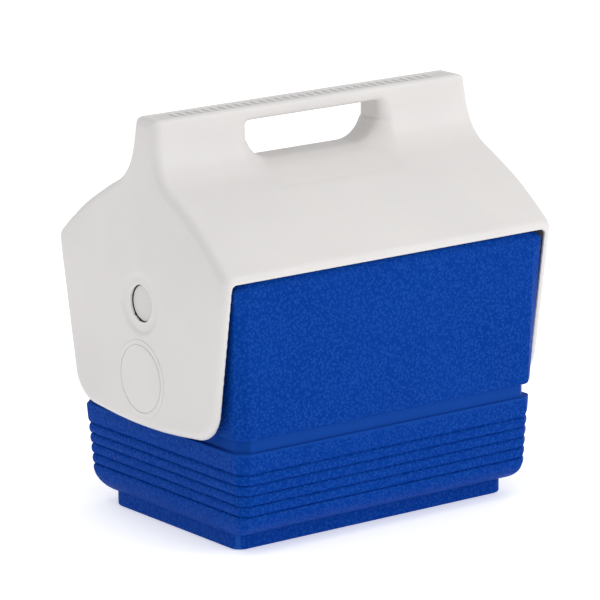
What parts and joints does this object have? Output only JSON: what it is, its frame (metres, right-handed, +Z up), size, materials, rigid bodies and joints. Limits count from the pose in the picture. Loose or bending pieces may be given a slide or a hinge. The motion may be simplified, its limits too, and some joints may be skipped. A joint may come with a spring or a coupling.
{
  "type": "cooler chest",
  "caption": "Small insulated cooler chest with a tent-shaped carrying-handle lid that swings open to either side and a push button in one lid arm.",
  "frame": {"origin": "middle of the footprint, on the surface the chest stands on", "axes": "+Z up, +X along the length away from the push-button end, +Y across the depth"},
  "size_m": [0.2488, 0.179, 0.2555],
  "materials": {
    "shell_blue": "pebble-grained polyethylene, satin",
    "liner_white": "smooth moulded polypropylene",
    "foam": "closed-cell polyurethane foam",
    "plug_black": "moulded polyethylene",
    "socket_plastic": "moulded polyethylene",
    "pin_plastic": "acetal",
    "washer_plastic": "acetal",
    "guide_plastic": "acetal",
    "spring_steel": "drawn spring wire",
    "button_white": "satin moulded",
    "lid_white": "satin moulded polyethylene, off-white",
    "cap_white": "satin moulded, off-white"
  },
  "bodies": {
    "chest": {"outer_shell": "shell_blue", "inner_liner": "liner_white", "body_insulation": "foam", "foam_plug": "plug_black", "pivot_socket_left": "socket_plastic", "pivot_socket_right": "socket_plastic", "pivot_pin_left": "pin_plastic", "pivot_pin_right": "pin_plastic", "pivot_washer_left": "washer_plastic", "pivot_washer_right": "washer_plastic", "button_guide": "guide_plastic", "button_spring_seat": "guide_plastic", "button_spring": "spring_steel"},
    "lid": {"lid_shell": "lid_white", "lid_liner": "liner_white", "pivot_cap_left": "cap_white", "pivot_cap_right": "cap_white"},
    "button": {"push_button": "button_white"}
  },
  "joints": [
    {"name": "lid_swing", "type": "hinge", "parent": "chest", "child": "lid", "pos_m": [0, 0, 0.0973], "axis": [1, 0, 0], "range_deg": [-80, 80]},
    {"name": "button_press", "type": "slide", "parent": "chest", "child": "button", "axis": [1, 0, 0], "range_m": [0, 0.0032], "stiffness_N_per_m": 600, "springref_m": -0.005, "deforming": ["button_spring"]}
  ]
}
